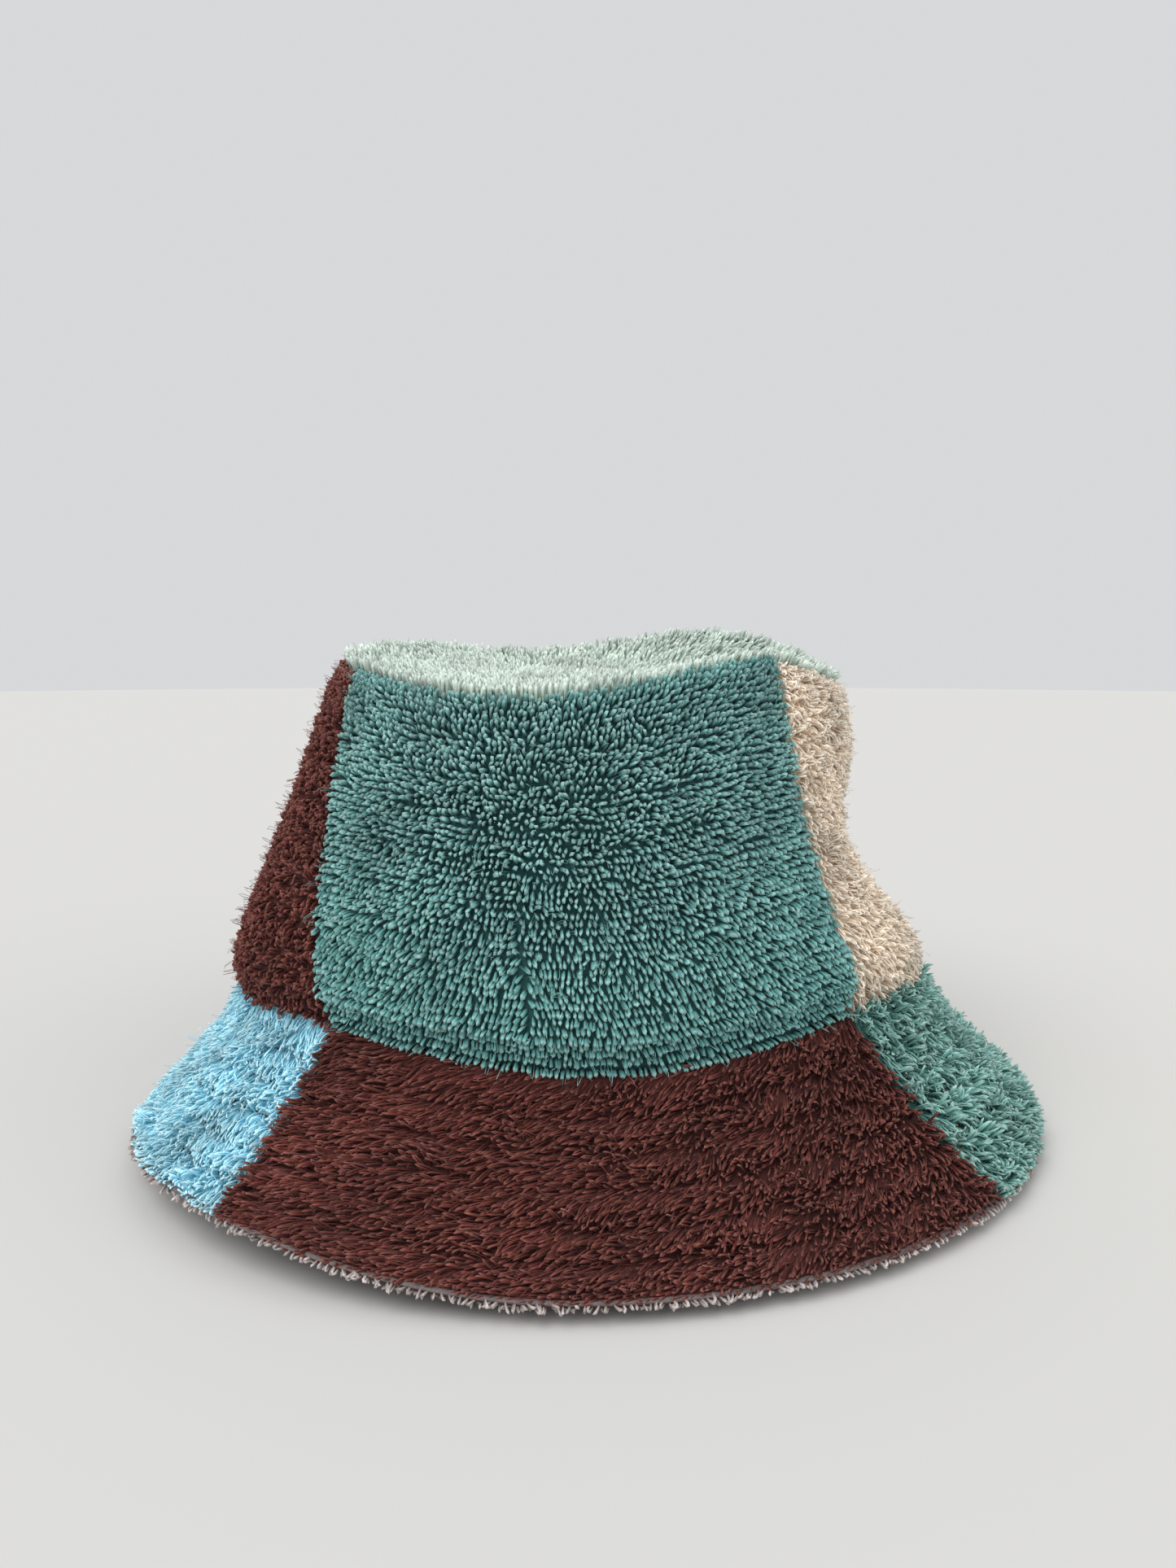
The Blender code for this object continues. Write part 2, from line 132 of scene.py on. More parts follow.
def crown_side(turn, level):
    """The crown's wall, where the tips of its pile are."""
    foot_radius = wavy(SEAM_RADIUS, SEAM_RADIUS_WAVES, turn)
    foot_height = wavy(SEAM_HEIGHT, SEAM_HEIGHT_WAVES, turn)
    top_radius = wavy(TOP_RADIUS, TOP_RADIUS_WAVES, turn)
    top_height = wavy(TOP_HEIGHT, TOP_HEIGHT_WAVES, turn)
    roll = ROLL_OVER_BRIM * bell(level - ROLL_LEVEL, ROLL_SPREAD)
    dent = DENT_DEPTH * bell(angle_between(turn, DENT_TURN), DENT_TURN_SPREAD)
    dent = dent * bell(level - DENT_LEVEL, DENT_LEVEL_SPREAD)
    free_of_seam = np.minimum(level / ROLL_LEVEL, 1.0)
    radius = foot_radius + (top_radius - foot_radius) * level + (roll - dent) * free_of_seam
    radius = radius - WALL_SWELL * np.sin(turn) * np.sin(np.pi * level)
    return at(turn, radius, foot_height + (top_height - foot_height) * level)


def brim(turn, level):
    """The brim's upper side."""
    seam_radius = wavy(SEAM_RADIUS, SEAM_RADIUS_WAVES, turn)
    seam_height = wavy(SEAM_HEIGHT, SEAM_HEIGHT_WAVES, turn)
    edge_radius = wavy(EDGE_RADIUS, EDGE_RADIUS_WAVES, turn)
    edge_height = EDGE_HEIGHT + edge_lift(turn)
    dip = BRIM_DISH * np.sin(np.pi * level)
    radius = seam_radius + (edge_radius - seam_radius) * level - dip
    return at(turn, radius, seam_height + (edge_height - seam_height) * level - dip)


def crown_top(turn, level):
    """The round top."""
    radius = wavy(TOP_RADIUS, TOP_RADIUS_WAVES, turn)
    rim_height = wavy(TOP_HEIGHT, TOP_HEIGHT_WAVES, turn)
    middle = TOP_HEIGHT - TOP_SAG
    return at(turn, radius * level, middle + (rim_height - middle) * level**2)


def unit(vectors):
    """Vectors scaled to length 1."""
    return vectors / np.linalg.norm(vectors, axis=-1, keepdims=True)


def outward(surface, turn, level):
    """Unit vectors that point straight out of a surface."""
    level = np.clip(level, NUDGE, 1.0 - NUDGE)
    round_hat = surface(turn + NUDGE, level) - surface(turn - NUDGE, level)
    along = surface(turn, level + NUDGE) - surface(turn, level - NUDGE)
    normal = unit(np.cross(round_hat, along))
    return normal if surface is crown_side else -normal


def over_seams(surface, turn, level, inside):
    """The way out of the cloth, and the same scaled so that layers meet in the seams.

    Near a seam between two surfaces both turn to the direction halfway
    between the two cloths.
    """
    own = outward(surface, turn, level)
    way = own
    scaled = own
    for end, other in NEIGHBOURS[surface]:
        away = abs(level - end) * slant(surface)
        share = bell(away, MITRE_REACH[inside])[..., None]
        half = unit(own + outward(other, turn, end + 0.0 * level))
        long = half / (half * own).sum(-1, keepdims=True)
        way = unit(way * (1 - share) + half * share)
        scaled = scaled * (1 - share) + long * share
    return way, scaled


def seam_turn(seam, surface, level):
    """Turn of a long seam at each level of a surface."""
    top, foot, edge = np.radians(SEAMS[seam])
    if surface is crown_top:
        return top + 0.0 * level
    end = top if surface is crown_side else edge
    return foot + (end - foot) * level


def panel_ends(panel, surface, level):
    """Turns of a panel's first and last seam at each level."""
    first, last = (seam_turn(seam, surface, level) for seam in PANELS[panel])
    return first, np.where(last < first, last + 2 * np.pi, last)


def slant(surface):
    """Length of a surface from level 0 to level 1, along the cloth."""
    return float(np.linalg.norm(surface(0.0, 1.0) - surface(0.0, 0.0)))


NEIGHBOURS = {
    crown_side: ((0.0, brim), (1.0, crown_top)),
    brim: ((0.0, crown_side),),
    crown_top: ((1.0, crown_side),),
}
MITRE_REACH = (0.0035, 0.0085)  # how far from a seam a cloth bends: outer, lining


# ---------------------------------------------------------------- how the pile stands
@dataclass
class Pile:
    """The terry of one panel.

    Leans are (to the right, up the cloth) in radians.  lean holds at the
    middle, and fan is added in proportion to the distance from there, in
    half panels.  Only the front wall has a fringe: a further lean up the
    cloth at its foot.
    """

    length: float = 0.0027  # from the ground to the tip, along the yarn
    depth: float = 0.0022  # of the ground cloth under the outer face
    pitch: float = 0.00148  # between loops in a row
    row_pitch: float = 0.00172
    yarn: float = 0.00041  # the yarn's radius
    width: float = 0.00030  # half the distance between a loop's two legs
    middle: tuple = (0.0, 0.5)  # where the pile stands straight: side -1 to 1, level
    lean: tuple = (0.0, 0.0)
    fan: tuple = (0.4, 0.5)
    fringe: float = 0.0
    sway: float = 0.13  # how far whole tufts lean this way and that
    tuft: float = 0.011  # across a tuft
    ruffle: float = 0.13  # each loop's own lean
    twist: float = 0.5  # how far a loop's arch turns from straight up the cloth
    uneven: float = 0.09  # of the loops' lengths
    painted_light_foot: float = 0.0  # painted light: how much paler the pile is painted near level 0, where light falls on the loops that lean down
    stretch: float = 0.0  # how much longer the loops are that lie down, per radian
    root_lean: float = 0.3  # share of the tip's lean that a loop has at its root
    curl: tuple = (0.4, 0.45)  # how much further its tip hooks over: mean and spread


# One loop's centreline, (across, along) in half widths and lengths, from root to root
LOOP = ((-0.9, 0.0), (-1.0, 0.45), (-0.8, 0.86), (0.0, 1.0), (0.8, 0.86), (1.0, 0.45), (0.9, 0.0))
YARN_SIDES = 3
YARN_TAPER = (0.8, 0.3)  # the yarn's radius at the root, and what it gains at the tip
YARN_SPREAD = 0.08  # how much yarns differ in thickness
WIDTH_SPREAD = 0.35  # how much loops differ in width
OPENING = 0.5  # share of its twist by which a loop's tip turns further
BEND_STEPS = 41  # in which a loop's bend is added up
SHORTEST = 0.4  # share of pile.length that the shortest loop keeps
LONG_TUFTS = (0.6, 1.7)  # unevenness and breadth of whole tufts, against one loop and a tuft
MOST_LEAN = 1.6
ROOT_SINK = 0.0002  # the yarn starts this far inside the ground cloth
LOWEST = 0.0001  # the pile is pressed flat on the table

# Where the loops stand, in shares of their pitch and of the pitch of their rows
STAGGER = 0.25  # rows are set off to the left and right by turns
JITTER = (0.12, 0.10)  # along a row and between rows
SEAM_MARGIN = 0.2  # kept clear at a row's ends
FIRST_ROW = 0.4  # kept clear before the first row
TOP_REACH = 1.1  # in top radii: rows cover this, and are then cut to the outline
RIPPLE_WAVES = 9  # waves that add up to a random field

# The brim's pile
VALLEY_DEPTH = 0.0014  # the ground is drawn in under each row of topstitching
VALLEY_WIDTH = 0.0022
VALLEY_LEAN = 0.25  # the pile leans away from each row
EDGE_BEND = 0.0035  # over this distance the brim's cloths bend to its edge
EDGE_TURN = (0.3, 0.9)  # how far the pile turns past the edge: outer, lining
EDGE_UNDER = 0.5  # the lining's pile also comes out from under the edge
EDGE_TRIM = 0.55  # share of its length that the outer pile loses at the edge
LINING_TRIM = 0.15  # the same for the lining's, except at the front left
EDGE_HOLD = 0.8  # share of its lean up or down the brim that the pile loses at the edge

# The crown's pile
CREASE = (-0.015, 0.022, 0.012)  # the front's parting: across, along, and half its length
CREASE_WIDTH = 0.0035
CREASE_LEAN = 0.7
FOOT_REACH = 0.014  # the rows stay tidy and hooked this far up from the foot
FOOT_CALM = 0.6  # share of its sway and ruffle that the pile loses there
FOOT_HOOK = 0.6  # radians that the tips hook over more
FOOT_TURN = 1.2  # the loops open to the front near the foot
FOOT_ROWS = 0.90  # below 1, rows lie further apart near the foot
LONG_SEAM_REACH = 0.0055  # the pile stays on its own side of the long seams
LONG_SEAM_HOLD = 0.8  # share of its sideways lean that it loses there
RIM_REACH = 0.0045  # the pile changes within this distance of the top's rim
RIM_LEAN = 0.6  # the top's pile leans in from its rim
RIM_HOLD = 0.6  # and loses this share of its own sideways lean
RIM_DROOP = 0.7  # the wall's pile leans down from the rim, and is shorter there
RIM_TRIM = 0.45  # by this share
TOP_PARTING = 2.0  # how sharply the top's pile parts to the left and right

# Tone of each loop, with painted light near a wall's foot
TONE = 0.5
TONE_SPREAD = 0.16
TONE_RIPPLE = (0.10, 0.03)  # how strong, and how broad in metres
PAINTED_LIGHT_REACH = 0.35  # how far the painted light at the foot reaches, in levels up from the foot


def ripples(across, along, wavelength, rng):
    """A smooth random field of standard deviation 1 over the cloth."""
    total = np.zeros_like(across)
    for _ in range(RIPPLE_WAVES):
        heading = rng.uniform(0, 2 * np.pi)
        number = 2 * np.pi / wavelength * rng.uniform(0.6, 1.3)
        phase = rng.uniform(0, 2 * np.pi)
        total += np.cos((across * np.cos(heading) + along * np.sin(heading)) * number + phase)
    return total * math.sqrt(2 / RIPPLE_WAVES)


def to_end(surface, level):
    """Distance along the cloth to where level is 1: the top's rim or the brim's edge."""
    return (1.0 - level) * (TOP_RADIUS if surface is crown_top else slant(surface))


def quarter_spots(panel, surface, pile, rng):
    """Turn, level, across, along and side (-1 to 1) of a panel's loops, row by row."""
    length = slant(surface)
    rows = round(length / pile.row_pitch)
    spots = []
    for row in range(rows):
        level = (row + FIRST_ROW) / rows
        if surface is crown_side:
            level = level**FOOT_ROWS
        first, last = panel_ends(panel, surface, np.array(level))
        middle = (first + last) / 2
        radius = np.linalg.norm((surface(middle, level) - CROWN_AXIS)[:2])
        half = (last - first) / 2 * radius
        count = int(half / pile.pitch) + 1
        across = (np.arange(-count, count + 1) + STAGGER * (-1) ** row) * pile.pitch
        across = across[abs(across) < half - SEAM_MARGIN * pile.pitch]
        side = across / half
        across = across + rng.normal(0, JITTER[0] * pile.pitch, len(across))
        along = level * length + rng.normal(0, JITTER[1] * pile.row_pitch, len(across))
        spots.append(np.stack([middle + across / radius, along / length, across, along, side], 1))
    return np.concatenate(spots).T


def top_spots(pile, rng):
    """The same for the round top, whose rows run straight across the hat."""
    reach = TOP_RADIUS * TOP_REACH
    rows = np.arange(-reach, reach, pile.row_pitch)
    columns = np.arange(-reach, reach, pile.pitch)
    x, y = np.meshgrid(columns, rows)
    x = x + (STAGGER * (-1.0) ** np.arange(len(rows)) * pile.pitch)[:, None]
    x = (x + rng.normal(0, JITTER[0] * pile.pitch, x.shape)).ravel()
    y = (y + rng.normal(0, JITTER[1] * pile.row_pitch, y.shape)).ravel()
    turn = np.arctan2(x, -y)
    level = np.hypot(x, y) / wavy(TOP_RADIUS, TOP_RADIUS_WAVES, turn)
    kept = level < 1.0 - SEAM_MARGIN * pile.pitch / TOP_RADIUS
    return np.stack([turn[kept], level[kept], x[kept], y[kept], x[kept] / TOP_RADIUS])


def ground_depth(surface, turn, level, pile, inside):
    """How deep the ground cloth lies under the outer face."""
    depth = LINING_DEPTH - pile.depth if inside else pile.depth
    depth = depth + 0.0 * level
    if surface is brim:
        if not inside:
            for row in TOPSTITCH_LEVELS:
                depth = depth + VALLEY_DEPTH * bell((level - row) * slant(brim), VALLEY_WIDTH)
        seam_depth = EDGE_SEAM_DEPTH - EDGE_SEAM_ROLL * np.cos(turn - EDGE_SEAM_TURN)
        depth = depth + (seam_depth - depth) * bell(to_end(brim, level), EDGE_BEND)
    return depth


def down_the_brim(turn):
    """Unit vectors that point down the brim, past its edge."""
    return unit(brim(turn, 1.0) - brim(turn, 1.0 - NUDGE))


def ways(surface, turn, level, inside):
    """Where the ground lies and the pile stands: the way in, scaled, and the way out."""
    way, scaled = over_seams(surface, turn, level, inside)
    if inside:
        way = -way
    if surface is brim:
        past_edge = down_the_brim(turn) - (EDGE_UNDER * way if inside else 0.0)
        share = EDGE_TURN[inside] * bell(to_end(brim, level), EDGE_BEND)[..., None]
        way = unit(way * (1 - share) + past_edge * share)
    return way, scaled


def leans(surface, spots, pile, rng):
    """How each loop leans, to the right and up the cloth, in radians."""
    turn, level, across, along, side = spots
    count = len(turn)
    at_end = bell(to_end(surface, level), RIM_REACH)
    at_foot = bell(along, FOOT_REACH)
    calm = 1.0
    if surface is crown_top:
        inward = RIM_LEAN * at_end
        lean_side = pile.lean[0] + pile.fan[0] * np.tanh(TOP_PARTING * across / TOP_RADIUS)
        lean_side = lean_side * (1.0 - RIM_HOLD * at_end) - inward * across / TOP_RADIUS
        lean_up = pile.lean[1] + (pile.fan[1] - inward) * along / TOP_RADIUS
    else:
        lean_side = pile.lean[0] + pile.fan[0] * (side - pile.middle[0])
        lean_up = pile.lean[1] + pile.fan[1] * (level - pile.middle[1]) / 0.5
    if surface is crown_side and pile.fringe:
        lean_up = lean_up + pile.fringe * at_foot
        calm = 1.0 - FOOT_CALM * at_foot
        beside = across - CREASE[0]
        parted = np.sign(beside) * np.exp(-abs(beside) / CREASE_WIDTH)
        lean_side = lean_side + CREASE_LEAN * parted * bell(along - CREASE[1], CREASE[2])
    elif surface is crown_side:
        lean_up = lean_up - RIM_DROOP * at_end
    lean_side = lean_side + calm * pile.sway * ripples(across, along, pile.tuft, rng)
    lean_up = lean_up + calm * pile.sway * ripples(across, along, pile.tuft, rng)
    lean_side = lean_side + calm * pile.ruffle * rng.normal(size=count)
    lean_up = lean_up + calm * pile.ruffle * rng.normal(size=count)
    if surface is not crown_top:
        to_seam = abs(across) * (1 / np.maximum(abs(side), 1e-3) - 1)
        lean_side = lean_side * (1.0 - LONG_SEAM_HOLD * bell(to_seam, LONG_SEAM_REACH))
    if surface is brim:
        for row in TOPSTITCH_LEVELS:
            beside = (level - row) * slant(brim)
            lean_up = lean_up - VALLEY_LEAN * np.sign(beside) * np.exp(-abs(beside) / VALLEY_WIDTH)
        lean_up = lean_up * (1.0 - EDGE_HOLD * bell(to_end(brim, level), EDGE_BEND))
    return lean_side, lean_up


def stances(surface, turn, level, pile, inside):
    """Where each loop is rooted, and which ways are out, to the right and up the cloth."""
    out, scaled = ways(surface, turn, level, inside)
    depth = ground_depth(surface, turn, level, pile, inside)
    roots = surface(turn, level) - scaled * depth[:, None] - out * ROOT_SINK
    side = at(turn + NUDGE, 1.0, 0.0) - at(turn - NUDGE, 1.0, 0.0)
    if surface is crown_top:
        side = np.tile((1.0, 0.0, 0.0), (len(turn), 1))
    side = unit(side - out * (side * out).sum(1, keepdims=True))
    up = np.cross(out, side)
    if inside and surface is not crown_top:
        up = -up
    return roots, out, side, up


def lengths(surface, spots, pile, tip_angle, rng, inside):
    """How long each loop is."""
    turn, level, across, along, _ = spots
    unevenness, breadth = LONG_TUFTS
    grown = pile.length * (1 + pile.uneven * rng.normal(size=len(turn)))
    tufts = ripples(across, along, pile.tuft * breadth, rng)
    grown = grown * (1 + unevenness * pile.uneven * tufts)
    grown = np.maximum(grown, SHORTEST * pile.length) * (1 + pile.stretch * tip_angle)
    if surface is crown_side and not pile.fringe:
        grown = grown * (1 - RIM_TRIM * bell(to_end(surface, level), RIM_REACH))
    if surface is brim:
        trim = EDGE_TRIM
        if inside:
            trim = LINING_TRIM - LINING_TRIM * np.cos(turn - EDGE_SEAM_TURN)
        grown = grown * (1 - trim * bell(to_end(brim, level), EDGE_BEND))
    return grown


def tubes(line, face, beside, thick, sides):
    """Rings of points round the centrelines of yarns."""
    rings = []
    for number in range(sides):
        around = 2 * np.pi * number / sides + np.pi / 2
        rings.append(line + (face * np.cos(around) + beside * np.sin(around)) * thick)
    return np.stack(rings, axis=2)


def grow(name, surface, spots, pile, colour, rng, inside=False):
    """A panel's pile, as one mesh of yarn loops."""
    turn, level, across, along, _ = spots
    count = len(turn)
    roots, out, side, up = stances(surface, turn, level, pile, inside)
    lean_side, lean_up = leans(surface, spots, pile, rng)
    lean = np.hypot(lean_side, lean_up) + 1e-6
    towards = (side * lean_side[:, None] + up * lean_up[:, None]) / lean[:, None]
    tip_angle = np.minimum(lean, MOST_LEAN)
    root_angle = tip_angle * pile.root_lean
    grown = lengths(surface, spots, pile, tip_angle, rng, inside)
    turned = rng.normal(0, pile.twist, count)
    curl = rng.normal(pile.curl[0], pile.curl[1], count)[:, None]
    if surface is crown_side and pile.fringe:
        at_foot = bell(along, FOOT_REACH)
        curl = curl + FOOT_HOOK * at_foot[:, None]
        turned = turned + FOOT_TURN * at_foot

    # Bend each loop's axis from its root angle to its tip angle, and hook the tip over
    arch, rise = np.array(LOOP).T
    share = np.linspace(0, 1, BEND_STEPS)
    angles = root_angle[:, None] + (tip_angle - root_angle)[:, None] * share + curl * share**4
    forward = np.cumsum(np.sin(angles), axis=1) / BEND_STEPS
    upward = np.cumsum(np.cos(angles), axis=1) / BEND_STEPS
    nearest = np.rint(rise * (BEND_STEPS - 1)).astype(int)
    axis = roots[:, None] + grown[:, None, None] * (
        out[:, None] * upward[:, nearest, None] + towards[:, None] * forward[:, nearest, None]
    )
    cosine, sine = np.cos(angles[:, nearest, None]), np.sin(angles[:, nearest, None])
    heading = out[:, None] * cosine + towards[:, None] * sine

    # Carry the way up the cloth along the bend, and turn the loop's arch from it
    hinge = np.cross(out, towards)[:, None]
    kept = hinge * (hinge * up[:, None]).sum(-1, keepdims=True)
    up_way = up[:, None] * cosine + np.cross(hinge, up[:, None]) * sine + kept * (1 - cosine)
    across_way = np.cross(heading, up_way)
    turned = (turned[:, None] * (1 + OPENING * rise))[..., None]
    wide = up_way * np.cos(turned) + across_way * np.sin(turned)
    spread = pile.width * (1 + WIDTH_SPREAD * rng.normal(size=count))
    line = axis + wide * (arch * spread[:, None])[..., None]

    run = unit(np.gradient(line, axis=1))
    beside = unit(np.cross(run, np.cross(heading, wide)))
    thick = pile.yarn * (YARN_TAPER[0] + YARN_TAPER[1] * rise)
    thick = thick * (1 + YARN_SPREAD * rng.normal(size=count))[:, None]
    points = tubes(line, np.cross(beside, run), beside, thick[..., None], YARN_SIDES)
    points[..., 2] = np.maximum(points[..., 2], LOWEST)

    # painted light near the foot, added to a tone that differs at random from loop to loop
    tone_and_painted_light = TONE + pile.painted_light_foot * bell(level, PAINTED_LIGHT_REACH) + TONE_SPREAD * rng.normal(size=count)
    tone_and_painted_light = tone_and_painted_light + TONE_RIPPLE[0] * ripples(across, along, TONE_RIPPLE[1], rng)
    tone_and_painted_light = np.broadcast_to(tone_and_painted_light[:, None, None], points.shape[:3])
    height = np.broadcast_to(rise[None, :, None], points.shape[:3])
    piece = yarn_mesh(name, points, {"tone_and_painted_light": tone_and_painted_light, "height": height})
    piece.data.materials.append(colour)
    return piece


def add_object(name, data):
    """A new object in the scene."""
    thing = bpy.data.objects.new(name, data)
    bpy.context.scene.collection.objects.link(thing)
    return thing


CELL_MARGIN = 0.07  # kept clear round each tube's cell of the UV square


def yarn_mesh(name, points, shades):
    """Tubes of yarn from points[tube, step, side], with a named value at each point.

    The UV layer gives each tube its own cell of a square, and has the name
    that the exporter looks for.
    """
    count, steps, sides, _ = points.shape
    number = np.arange(count * steps * sides).reshape(count, steps, sides)
    beyond = np.roll(number, -1, axis=2)
    quads = np.stack([number[:, :-1], beyond[:, :-1], beyond[:, 1:], number[:, 1:]], axis=-1)
    quads = quads.reshape(-1, 4)
    mesh = bpy.data.meshes.new(name)
    mesh.vertices.add(number.size)
    mesh.vertices.foreach_set("co", points.astype(np.float32).ravel())
    mesh.loops.add(quads.size)
    mesh.loops.foreach_set("vertex_index", quads.astype(np.int32).ravel())
    mesh.polygons.add(len(quads))
    mesh.polygons.foreach_set("loop_start", np.arange(0, quads.size, 4, dtype=np.int32))
    mesh.update(calc_edges=True)
    mesh.shade_smooth()
    for shade, value in shades.items():
        layer = mesh.attributes.new(shade, "FLOAT", "POINT")
        layer.data.foreach_set("value", value.astype(np.float32).ravel())
    cells = math.ceil(math.sqrt(count))
    step, side = np.meshgrid(np.arange(steps - 1), np.arange(sides), indexing="ij")
    u = np.stack([step, step, step + 1, step + 1], axis=-1) / (steps - 1)
    v = np.stack([side, side + 1, side + 1, side], axis=-1) / sides
    corner = np.stack([u, v], axis=-1) * (1 - 2 * CELL_MARGIN) + CELL_MARGIN
    cell = np.stack([np.arange(count) % cells, np.arange(count) // cells], axis=-1)
    uv = (cell[:, None, None, None, :] + corner[None]) / cells
    mesh.uv_layers.new(name="OFBake").uv.foreach_set("vector", uv.astype(np.float32).ravel())
    return add_object(name, mesh)


# ---------------------------------------------------------------- the ground cloth
GROUND = 0.0006  # thickness of the woven ground
ACROSS = 28  # points across and along a quarter panel
ALONG = {"wall": 36, "brim": 72}
ROUND_SPOKES = 73
ROUND_RINGS = 18
ROUND_START = 0.001  # the innermost ring, which is welded to a point
WELD = 0.0001  # points closer than this become one


def cloth_mesh(name, face, back, colour):
    """A closed thin cloth from two grids of points, its face and its back."""
    rows, columns, _ = face.shape
    number = np.arange(rows * columns).reshape(rows, columns)
    quads = np.stack([number[:-1, :-1], number[:-1, 1:], number[1:, 1:], number[1:, :-1]], axis=-1)
    quads = quads.reshape(-1, 4)
    other = quads[:, ::-1] + rows * columns
    rim = np.concatenate([number[0, :-1], number[:-1, -1], number[-1, :0:-1], number[:0:-1, 0]])
    following = np.roll(rim, -1)
    walls = np.stack([following, rim, rim + rows * columns, following + rows * columns], axis=-1)
    points = np.concatenate([face.reshape(-1, 3), back.reshape(-1, 3)])
    mesh = bpy.data.meshes.new(name)
    mesh.from_pydata(points.tolist(), [], np.concatenate([quads, other, walls]).tolist())
    mesh.shade_smooth()
    mesh.materials.append(colour)
    return add_object(name, mesh)


def cloth_sides(surface, turn, level, pile, inside):
    """The two sides of a ground cloth, the one with the pile first."""
    _, scaled = over_seams(surface, turn, level, inside)
    depth = ground_depth(surface, turn, level, pile, inside)[..., None]
    through = -GROUND if inside else GROUND
    outer = surface(turn, level)
    return outer - scaled * depth, outer - scaled * (depth + through)


def quarter_cloth(name, panel, surface, pile, colour, inside=False):
    """The ground cloth of a quarter panel, with the size it was cut to."""
    rows = ALONG["brim" if surface is brim else "wall"]
    level = 0.5 - 0.5 * np.cos(np.pi * np.linspace(0, 1, rows))[:, None]
    if surface is brim:
        level = 0.5 * level + 0.5 * np.linspace(0, 1, rows)[:, None]
    first, last = panel_ends(panel, surface, level)
    turn = first + (last - first) * np.linspace(0, 1, ACROSS)[None, :]
    turn, level = np.broadcast_arrays(turn, level)
    face, back = cloth_sides(surface, turn, level, pile, inside)
    if surface is brim:
        face, back = face[::-1], back[::-1]
    if inside:
        face, back = face[:, ::-1], back[:, ::-1]
    piece = cloth_mesh(name, face, back, colour)
    widths = [np.linalg.norm(np.diff(row, axis=0), axis=1).sum() for row in (face[0], face[-1])]
    length = np.linalg.norm(np.diff(face[:, ACROSS // 2], axis=0), axis=1).sum()
    area = sum(widths) / 2 * length
    flat = (round(float(max(widths)), 3), round(float(length), 3))
    return piece, flat, float(area)


def round_cloth(name, pile, colour, inside=False):
    """The same for the round top."""
    level = np.sin(0.5 * np.pi * np.linspace(ROUND_START, 1, ROUND_RINGS))[:, None]
    turn = np.linspace(0, 2 * np.pi, ROUND_SPOKES)[None, :]
    level, turn = np.broadcast_arrays(level, turn)
    face, back = cloth_sides(crown_top, turn, level, pile, inside)
    if not inside:
        face, back = face[::-1], back[::-1]
    piece = cloth_mesh(name, face, back, colour)
    weld = piece.modifiers.new("weld", "WELD")
    weld.merge_threshold = WELD
    return piece, (2 * TOP_RADIUS, 2 * TOP_RADIUS), math.pi * TOP_RADIUS**2


STITCH = 0.0032  # length of a topstitch
STITCH_GAP = 0.0006
STITCH_YARN = 0.00022  # the thread's radius
STITCH_POINTS = 5
STITCH_SIDES = 4
STITCH_DIVE = 0.0006  # how far its ends go down
STITCH_SHADE = {"height": 0.7, "tone_and_painted_light": 0.5}


def stitch_row(name, level, colour):
    """One row of topstitching: short stitches that dive into the cloth at both ends."""
    radius = EDGE_RADIUS * level + SEAM_RADIUS * (1 - level)
    count = round(2 * np.pi * radius / (STITCH + STITCH_GAP))
    share = np.linspace(-0.5, 0.5, STITCH_POINTS)
    turn = (np.arange(count)[:, None] + share * STITCH / (STITCH + STITCH_GAP)) * 2 * np.pi / count
    level = np.full_like(turn, level)
    out = outward(brim, turn, level)
    sunk = PILES["brim_front"].depth + VALLEY_DEPTH - STITCH_YARN
    sunk = sunk + np.where(abs(share) == 0.5, STITCH_DIVE, 0.0)
    line = brim(turn, level) - out * sunk[None, :, None]
    beside = np.cross(unit(np.gradient(line, axis=1)), out)
    points = tubes(line, out, beside, STITCH_YARN, STITCH_SIDES)
    size = points.shape[:3]
    shades = {shade: np.broadcast_to(value, size) for shade, value in STITCH_SHADE.items()}
    piece = yarn_mesh(name, points, shades)
    piece.data.materials.append(colour)
    return piece


# ---------------------------------------------------------------- materials
def linear(colour):
    """An sRGB colour, 0 to 255, as linear light with alpha."""
    value = np.array(colour) / 255
    light = np.where(value <= 0.04045, value / 12.92, ((value + 0.055) / 1.055) ** 2.4)
    return (*light.tolist(), 1.0)


def new_material(name, roughness):
    """A material, its node tree and its shader."""
    made = bpy.data.materials.new(name)
    made.use_nodes = True
    shader = made.node_tree.nodes["Principled BSDF"]
    shader.inputs["Roughness"].default_value = roughness
    return made, made.node_tree, shader


def pattern(tree, kind, **settings):
    """A procedural texture fixed to the object."""
    texture = tree.nodes.new(kind)
    for key, value in settings.items():
        texture.inputs[key].default_value = value
    place = tree.nodes.new("ShaderNodeTexCoord")
    tree.links.new(place.outputs["Object"], texture.inputs["Vector"])
    return texture


def attribute(tree, name):
    """The output of a value stored on the mesh."""
    node = tree.nodes.new("ShaderNodeAttribute")
    node.attribute_name = name
    return node.outputs["Fac"]


def colour_ramp(tree, factor, first, last):
    """A ramp between two stops, each a position and an sRGB colour."""
    ramp = tree.nodes.new("ShaderNodeValToRGB")
    for element, (position, colour) in zip(ramp.color_ramp.elements, (first, last)):
        element.position = position
        element.color = linear(colour)
    tree.links.new(factor, ramp.inputs["Fac"])
    return ramp


def shaded(colour, share):
    """A colour made darker."""
    return [channel * share for channel in colour]


